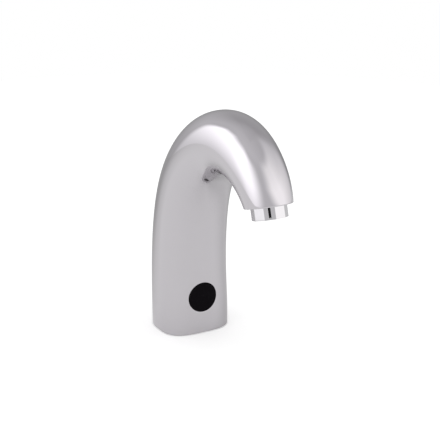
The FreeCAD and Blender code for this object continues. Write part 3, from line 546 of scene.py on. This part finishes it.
# --- Sensor window --------------------------------------------------------------------------
# A moulded disc of black plastic that infrared light passes. Its face follows the casting's
# curve, flush with it, and a flange behind holds it in the pocket against its seal.
WINDOW_RADIUS = 0.01125
WINDOW_EDGE = 0.00015
FLANGE_RADIUS = 0.0123
FLANGE_FRONT = -0.0189    # y of the flange's two faces
FLANGE_BACK = -0.0177
WINDOW_SIDES = 96
WINDOW_RINGS = 9
WINDOW_MIDDLE = 1 / 8     # share of a ring's width at which the face begins
BLOOM = 350.0             # faint mottles of the moulding, to the metre
NOISE_ALL = (0.3, 0.7)    # between which nearly all of a noise's values lie
WINDOW_COLOUR = (0.0030, 0.0023, 0.0034, 1.0)
WINDOW_ROUGHNESS = (0.22, 0.3)


def window_ring(radius, y=None, depth=0.0):
    """Circle in the casting's front skin, or this deep behind it, or flat at this y."""
    turns = [math.tau * i / WINDOW_SIDES for i in range(WINDOW_SIDES)]
    ring = [front_point(radius * math.cos(turn), EYE_HEIGHT + radius * math.sin(turn))
            for turn in turns]
    return [Vector((point.x, point.y + depth if y is None else y, point.z)) for point in ring]


face_radius = WINDOW_RADIUS - WINDOW_EDGE
start_ring(window_ring(face_radius / WINDOW_RINGS * WINDOW_MIDDLE))
draw_out([window_ring(face_radius * i / WINDOW_RINGS) for i in range(1, WINDOW_RINGS)])
draw_out([window_ring(WINDOW_RADIUS - back, depth=depth)
          for depth, back in edge_steps(WINDOW_EDGE)])
draw_out([window_ring(WINDOW_RADIUS, FLANGE_FRONT), window_ring(FLANGE_RADIUS, FLANGE_FRONT),
          window_ring(FLANGE_RADIUS, FLANGE_BACK), window_ring(face_radius / 2, FLANGE_BACK)])
bpy.ops.mesh.select_all(action="SELECT")
bpy.ops.mesh.fill_holes(sides=0)
bpy.ops.mesh.normals_make_consistent(inside=False)
bpy.ops.object.mode_set(mode="OBJECT")
bpy.ops.object.shade_smooth_by_angle(angle=CREASE)

window_black, tree = new_material("window_black")
place = tree.add("ShaderNodeTexCoord", output="Object")
mottles = tree.noise(place, BLOOM, 3.0)
tree.surface({"Base Color": WINDOW_COLOUR, "Specular IOR Level": 0.035,
              "Roughness": tree.ramp(mottles, *NOISE_ALL, *WINDOW_ROUGHNESS)})

window = take_piece("sensor_window", window_black)
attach(window, "root")
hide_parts("sensor_lens")


# --- Aerator housing ------------------------------------------------------------------------
# A turned brass sleeve, bright chromed: a fine thread above screws into the spout's end, and a
# head milled with ten flats stands out below it, with two opposite slots for the fitter's key.
HEAD_DROP = 0.0085        # how far the head stands out of the lip
HEAD_TOP = -0.0001        # as all heights here, up the outlet's axis from its lip
HEAD_SIDES = 10
HEAD_APOTHEM = 0.01165
SLEEVE_RADIUS = 0.0120
SLEEVE_TOP = 0.0050
SLEEVE_BORE = 0.0106
MOUTH_RADIUS = 0.0093
MOUTH_TOP = 0.0009 - HEAD_DROP
RELIEF_RADIUS = 0.0114    # groove between the head and the thread
RELIEF_TOP = HEAD_TOP + 0.0007
THREAD_PITCH = 0.001
THREAD_DEEP = 0.00045
THREAD_RINGS = 34
SLOT_WIDE = 0.0017
SLOT_BOTTOM = 0.0012 - HEAD_DROP
SLOT_TOP = HEAD_TOP - 0.0003
SLOT_TURN = math.radians(-28.5)
EDGE_BREAK = 0.00016      # width of the tumbled edges
EDGE_SEGMENTS = 3
SHARP = math.radians(15)  # edges sharper than this are tumbled
HEAD_CREASE = math.radians(35)
HEAD_SPOTS = 600.0        # uneven spots of the plating, to the metre
HEAD_COLOUR = (0.61, 0.60, 0.617, 1.0)
HEAD_ROUGHNESS = (0.09, 0.14)

# Turns from the middle of a flat to the points along it. Two of them are a slot's sides.
flat_half = math.pi / HEAD_SIDES
slot_half = math.asin(SLOT_WIDE / 2 / HEAD_APOTHEM)
along_flat = (-flat_half, -0.75 * flat_half, -0.5 * flat_half, -slot_half,
              slot_half, 0.5 * flat_half, 0.75 * flat_half)
head_places = [(2 * flat_half * flat, place) for flat in range(HEAD_SIDES) for place in along_flat]


def head_ring(height, radius=None, groove=0.0):
    """Ring of the head's ten-sided outline, or round where a radius is given."""
    ring = []
    for middle, place in head_places:
        reach = radius or HEAD_APOTHEM / math.cos(place)
        if abs(place) == slot_half:     # a slot's sides stay parallel
            place = math.copysign(math.asin(SLOT_WIDE / 2 / reach), place)
        turn = math.pi / 2 + middle + place + SLOT_TURN
        phase = (height / THREAD_PITCH - turn / math.tau) % 1.0
        reach -= groove * abs(2 * phase - 1)
        ring.append(outlet_frame @ Vector((reach * math.cos(turn), reach * math.sin(turn), height)))
    return ring


thread_step = (SLEEVE_TOP - RELIEF_TOP) / THREAD_RINGS
thread_rings = [head_ring(RELIEF_TOP + thread_step * i, SLEEVE_RADIUS, THREAD_DEEP)
                for i in range(1, THREAD_RINGS)]
start_ring(head_ring(-HEAD_DROP, MOUTH_RADIUS))
draw_out([head_ring(-HEAD_DROP), head_ring(SLOT_BOTTOM), head_ring(SLOT_TOP), head_ring(HEAD_TOP)])
draw_out([head_ring(HEAD_TOP, RELIEF_RADIUS), head_ring(RELIEF_TOP, RELIEF_RADIUS)])
draw_out(thread_rings + [head_ring(SLEEVE_TOP, RELIEF_RADIUS), head_ring(SLEEVE_TOP, SLEEVE_BORE)])
draw_out([head_ring(height, SLEEVE_BORE) for height in (SLOT_TOP, SLOT_BOTTOM, MOUTH_TOP)])
draw_out([head_ring(MOUTH_TOP, MOUTH_RADIUS)])
bpy.ops.mesh.select_all(action="DESELECT")
bpy.ops.mesh.select_non_manifold()
bpy.ops.mesh.bridge_edge_loops()

to_outlet = outlet_frame.inverted()
for side_turn in (0, math.pi):
    slot_turn = math.pi / 2 + side_turn + SLOT_TURN
    across = Vector((-math.sin(slot_turn), math.cos(slot_turn), 0))
    away = Vector((math.cos(slot_turn), math.sin(slot_turn), 0))
    bpy.ops.mesh.select_all(action="DESELECT")
    edited = bmesh.from_edit_mesh(bpy.context.object.data)
    for face in edited.faces:
        middle = to_outlet @ face.calc_center_median()
        in_slot = abs(middle.dot(across)) < SLOT_WIDE / 4 and SLOT_BOTTOM < middle.z < SLOT_TOP
        face.select_set(in_slot and middle.dot(away) > MOUTH_RADIUS)
    bpy.ops.mesh.delete(type="FACE")
    bpy.ops.mesh.select_non_manifold()
    bpy.ops.mesh.bridge_edge_loops()
bpy.ops.mesh.select_all(action="SELECT")
bpy.ops.mesh.normals_make_consistent(inside=False)
bpy.ops.mesh.select_all(action="DESELECT")
bpy.ops.mesh.edges_select_sharp(sharpness=SHARP)
edited = bmesh.from_edit_mesh(bpy.context.object.data)
sharp = [edge for edge in edited.edges if edge.select]
bpy.ops.mesh.select_all(action="DESELECT")
for edge in sharp:
    ends = [to_outlet @ vertex.co for vertex in edge.verts]
    outside = all(math.hypot(end.x, end.y) > HEAD_APOTHEM - EDGE_BREAK for end in ends)
    if outside and all(end.z < RELIEF_TOP / 2 for end in ends):
        edge.select_set(True)
bpy.ops.mesh.bevel(offset=EDGE_BREAK, segments=EDGE_SEGMENTS, affect="EDGES")
bpy.ops.object.mode_set(mode="OBJECT")
bpy.ops.object.shade_smooth_by_angle(angle=HEAD_CREASE)
bpy.ops.object.modifier_add(type="WEIGHTED_NORMAL")
bpy.context.object.modifiers[-1].keep_sharp = True
bpy.ops.object.modifier_apply(modifier=bpy.context.object.modifiers[-1].name)

turned_chrome, tree = new_material("turned_chrome")
place = tree.add("ShaderNodeTexCoord", output="Object")
spots = tree.noise(place, HEAD_SPOTS, 3.0)
tree.surface({"Base Color": HEAD_COLOUR, "Metallic": 1.0,
              "Roughness": tree.ramp(spots, *NOISE_MOST, *HEAD_ROUGHNESS)})

housing = take_piece("aerator_head", turned_chrome)
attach(housing, "aerator_sleeve")
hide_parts("aerator_housing")


# --- Outlet insert --------------------------------------------------------------------------
# A turned brass bush, pressed into the spout's end. The aerator screws into its thread, and the
# riser tube is pushed over its spigot. Brass dulls unevenly once it has been wet.
def mottled(name, dull, clean, grain, smooth, rough, relief=0.0, **finish):
    """Material whose colour, gloss and relief vary with the grain of its surface."""
    material, tree = new_material(name)
    place = tree.add("ShaderNodeTexCoord", output="Object")
    spots = tree.noise(place, 1 / grain, 4.0)
    colour = tree.blend(tree.ramp(spots, *NOISE_MOST, 0.0, 1.0), dull, clean)
    sockets = {"Base Color": colour, "Roughness": tree.ramp(spots, *NOISE_ALL, rough, smooth)}
    if relief:
        sockets["Normal"] = tree.relief(relief, spots)
    sockets.update({socket.replace("_", " "): value for socket, value in finish.items()})
    tree.surface(sockets)
    return material


def dress(material, *nodes):
    """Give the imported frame's own solids, which keep their shape, their real material."""
    for node in nodes:
        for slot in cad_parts[node].material_slots:
            slot.material = material


brass = mottled("brass", dull=(0.60, 0.43, 0.20), clean=(0.76, 0.58, 0.29), grain=0.0016,
                smooth=0.2, rough=0.36, relief=2e-6, Metallic=1.0)
dress(brass, "outlet_insert")


# --- Aerator's inside -----------------------------------------------------------------------
# A moulded black cartridge draws air into the water, a pressed stainless strainer closes its
# mouth, and a rubber washer seals it up against the insert.
black_plastic = mottled("black_plastic", dull=(0.006, 0.006, 0.007),
                        clean=(0.010, 0.010, 0.011), grain=0.0006, smooth=0.36, rough=0.48,
                        relief=8e-6, Specular_IOR_Level=0.12)
stainless = mottled("stainless", dull=(0.56, 0.56, 0.57), clean=(0.66, 0.66, 0.67),
                    grain=0.0009, smooth=0.2, rough=0.34, Metallic=1.0)
rubber = mottled("rubber", dull=(0.022, 0.022, 0.023), clean=(0.036, 0.036, 0.037),
                 grain=0.0005, smooth=0.62, rough=0.8, relief=1.2e-5)
dress(black_plastic, "aerator_cartridge")
dress(stainless, "aerator_screen")
dress(rubber, "aerator_washer")


# --- Foot -----------------------------------------------------------------------------------
# A cut rubber pad carries the tap on the deck. The milled brass plate above it closes the
# casting, held by four countersunk stainless screws, and takes the studs from below.
dress(rubber, "base_gasket")
dress(brass, "base_plate")
dress(stainless, "base_screws")


# --- Inlet ----------------------------------------------------------------------------------
# The turned brass port for the supply hose, with its rubber ring, and a stainless thimble
# strainer that stands in the valve's mouth.
dress(brass, "inlet_fitting")
dress(rubber, "inlet_seal")
dress(stainless, "inlet_filter")


# --- Solenoid valve -------------------------------------------------------------------------
# White acetal mouldings with a rubber diaphragm between them, clamped by four screws. A soft
# iron plunger with a rubber face works in the bonnet's guide tube, under a core of the same iron.
acetal = mottled("acetal", dull=(0.78, 0.78, 0.745), clean=(0.85, 0.85, 0.82), grain=0.004,
                 smooth=0.34, rough=0.46, relief=4e-6)
soft_iron = mottled("soft_iron", dull=(0.33, 0.33, 0.34), clean=(0.47, 0.47, 0.48),
                    grain=0.0012, smooth=0.3, rough=0.5, relief=2e-6, Metallic=1.0)
dress(acetal, "valve_body", "valve_disc", "valve_bonnet", "outlet_elbow")
dress(rubber, "valve_diaphragm", "plunger_seal")
dress(stainless, "bonnet_screws")
dress(soft_iron, "valve_plunger", "fixed_core")


# --- Plunger spring -------------------------------------------------------------------------
# Six turns of stainless wire between the plunger's pocket and the fixed core. The coil pulls
# the plunger up against it, which shortens it by the plunger's lift.
VALVE_AXIS = 0.0064       # the valve's upright axis, behind the body's centre
SPRING_RADIUS = 0.0025    # to the middle of its wire
WIRE_RADIUS = 0.00025
SPRING_BOTTOM = 0.0450
SPRING_TOP = 0.0519
SPRING_TURNS = 6
TURN_STEPS = 24           # rings of the mesh in one turn
WIRE_SIDES = 10
WIRE_CREASE = math.radians(50)

spring_climb = SPRING_TOP - SPRING_BOTTOM - 2 * WIRE_RADIUS
spring_steps = TURN_STEPS * SPRING_TURNS


def wire_ring(step):
    """Ring round the wire, this many steps up the spring."""
    turn = math.tau * step / TURN_STEPS
    outward = Vector((math.cos(turn), math.sin(turn), 0))
    height = SPRING_BOTTOM + WIRE_RADIUS + spring_climb * step / spring_steps
    middle = Vector((0, VALVE_AXIS, height)) + SPRING_RADIUS * outward
    sides = [math.tau * i / WIRE_SIDES for i in range(WIRE_SIDES)]
    upward = Vector((0, 0, 1))
    return [middle + WIRE_RADIUS * (outward * math.cos(a) + upward * math.sin(a)) for a in sides]


start_ring(wire_ring(0))
draw_out([wire_ring(step) for step in range(1, spring_steps + 1)])
bpy.ops.mesh.select_all(action="SELECT")
bpy.ops.mesh.fill_holes(sides=0)
bpy.ops.mesh.normals_make_consistent(inside=False)
bpy.ops.object.mode_set(mode="OBJECT")
bpy.ops.object.shade_smooth_by_angle(angle=WIRE_CREASE)

spring = take_piece("closing_spring", stainless)
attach(spring, "root")
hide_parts("plunger_spring")
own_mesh(spring)


# --- Coil -----------------------------------------------------------------------------------
# Fine enamelled copper wire, wound on an acetal bobbin with tinned blades in its flange. A bent
# steel strap closes the magnet's circuit round it.
TURN_PITCH = 0.00035      # from one turn of the wire to the next
# Painted shade in the creases between the wire's turns.
SHADE_BETWEEN_TURNS = (0.16, 0.05, 0.02)
ENAMEL = (0.66, 0.28, 0.13)

enamelled_copper, tree = new_material("enamelled_copper")
place = tree.add("ShaderNodeTexCoord", output="Object")
height = tree.add("ShaderNodeSeparateXYZ", place, output="Z")
turn = tree.math("FRACT", tree.math("DIVIDE", height, TURN_PITCH))
across_turn = tree.math("MULTIPLY_ADD", turn, 2.0, -1.0)
squared = tree.math("MULTIPLY", across_turn, across_turn)
round_wire = tree.math("SQRT", tree.math("SUBTRACT", 1.0, squared))
# Painted shade: the wire darkens from the crown of each turn to the creases between turns.
colour = tree.blend(round_wire, SHADE_BETWEEN_TURNS, ENAMEL)
bumps = tree.relief(TURN_PITCH / 2, round_wire)
tree.surface({"Base Color": colour, "Metallic": 1.0, "Roughness": 0.3, "Normal": bumps})
tinned_brass = mottled("tinned_brass", dull=(0.60, 0.58, 0.53), clean=(0.74, 0.72, 0.66),
                       grain=0.0008, smooth=0.25, rough=0.4, Metallic=1.0)
dress(enamelled_copper, "coil_winding")
dress(acetal, "coil_bobbin")
dress(tinned_brass, "coil_terminals")
dress(soft_iron, "coil_yoke")


# --- Riser ----------------------------------------------------------------------------------
# A soft, milky silicone tube leads the water from the valve up through the arch. A spring-wire
# clip holds it on each spigot.
silicone = mottled("silicone", dull=(0.70, 0.71, 0.69), clean=(0.80, 0.81, 0.79), grain=0.003,
                   smooth=0.3, rough=0.42, Transmission_Weight=0.55, IOR=1.41)
dress(silicone, "riser_tube")
dress(stainless, "tube_clips")


# --- Sensor ---------------------------------------------------------------------------------
# A round black case behind the window holds a small circuit board with two infrared diodes and
# a wall between them. A sprung steel strap and two screws press it on its rubber seal.
clear_resin = mottled("clear_resin", dull=(0.66, 0.70, 0.76), clean=(0.72, 0.76, 0.82),
                      grain=0.002, smooth=0.06, rough=0.14, Transmission_Weight=0.7)
dark_resin = mottled("dark_resin", dull=(0.04, 0.025, 0.05), clean=(0.06, 0.035, 0.07),
                     grain=0.002, smooth=0.06, rough=0.14, Transmission_Weight=0.3)

TRACK_PITCH = 0.0012      # from one copper track to the next
TRACK_SHARE = 0.3         # how much of that the track covers
TRACK_EDGE = 0.05         # share over which its edge fades
TRACK_HEIGHT = 3e-5
TRACK_JOGS = 6.0          # most tracks that a jog passes, and its length in pitches
BOARD_COLOUR = (0.035, 0.17, 0.075)
TRACK_COLOUR = (0.09, 0.32, 0.14)

board_green, tree = new_material("board_green")
place = tree.add("ShaderNodeTexCoord", output="Object")
stagger = tree.noise(place, 1 / (TRACK_JOGS * TRACK_PITCH), 0.0)
side = tree.add("ShaderNodeSeparateXYZ", place, output="X")
lanes = tree.math("ADD", tree.math("DIVIDE", side, TRACK_PITCH),
                  tree.math("ROUND", tree.math("MULTIPLY", stagger, TRACK_JOGS)))
lane = tree.math("ABSOLUTE", tree.math("SUBTRACT", tree.math("FRACT", lanes), 0.5))
track = tree.ease(lane, TRACK_SHARE / 2, TRACK_SHARE / 2 + TRACK_EDGE, 1, 0)
colour = tree.blend(track, BOARD_COLOUR, TRACK_COLOUR)
bumps = tree.relief(TRACK_HEIGHT, track)
tree.surface({"Base Color": colour, "Roughness": 0.32, "Normal": bumps})
dress(rubber, "sensor_seal")
dress(black_plastic, "sensor_case", "optic_divider", "sensor_back_cover")
dress(clear_resin, "infrared_emitter")
dress(dark_resin, "infrared_receiver")
dress(board_green, "sensor_board")
dress(soft_iron, "sensor_clamp")
dress(stainless, "clamp_screws")


# --- Battery and chassis --------------------------------------------------------------------
# A moulded frame stands on the base plate and carries the battery's box. Two cells in a shrunk
# film sleeve feed the sensor through sprung leaves under the lid and four thin wires.
shrunk_film = mottled("shrunk_film", dull=(0.07, 0.085, 0.15), clean=(0.12, 0.14, 0.235),
                      grain=0.006, smooth=0.2, rough=0.34, relief=4e-5)
wire_sheath = mottled("wire_sheath", dull=(0.38, 0.022, 0.022), clean=(0.50, 0.036, 0.036),
                      grain=0.002, smooth=0.4, rough=0.52, relief=3e-6)
dress(black_plastic, "chassis", "battery_holder", "battery_lid")
dress(stainless, "chassis_screws")
dress(shrunk_film, "battery")
dress(tinned_brass, "battery_contacts")
dress(wire_sheath, "wiring")
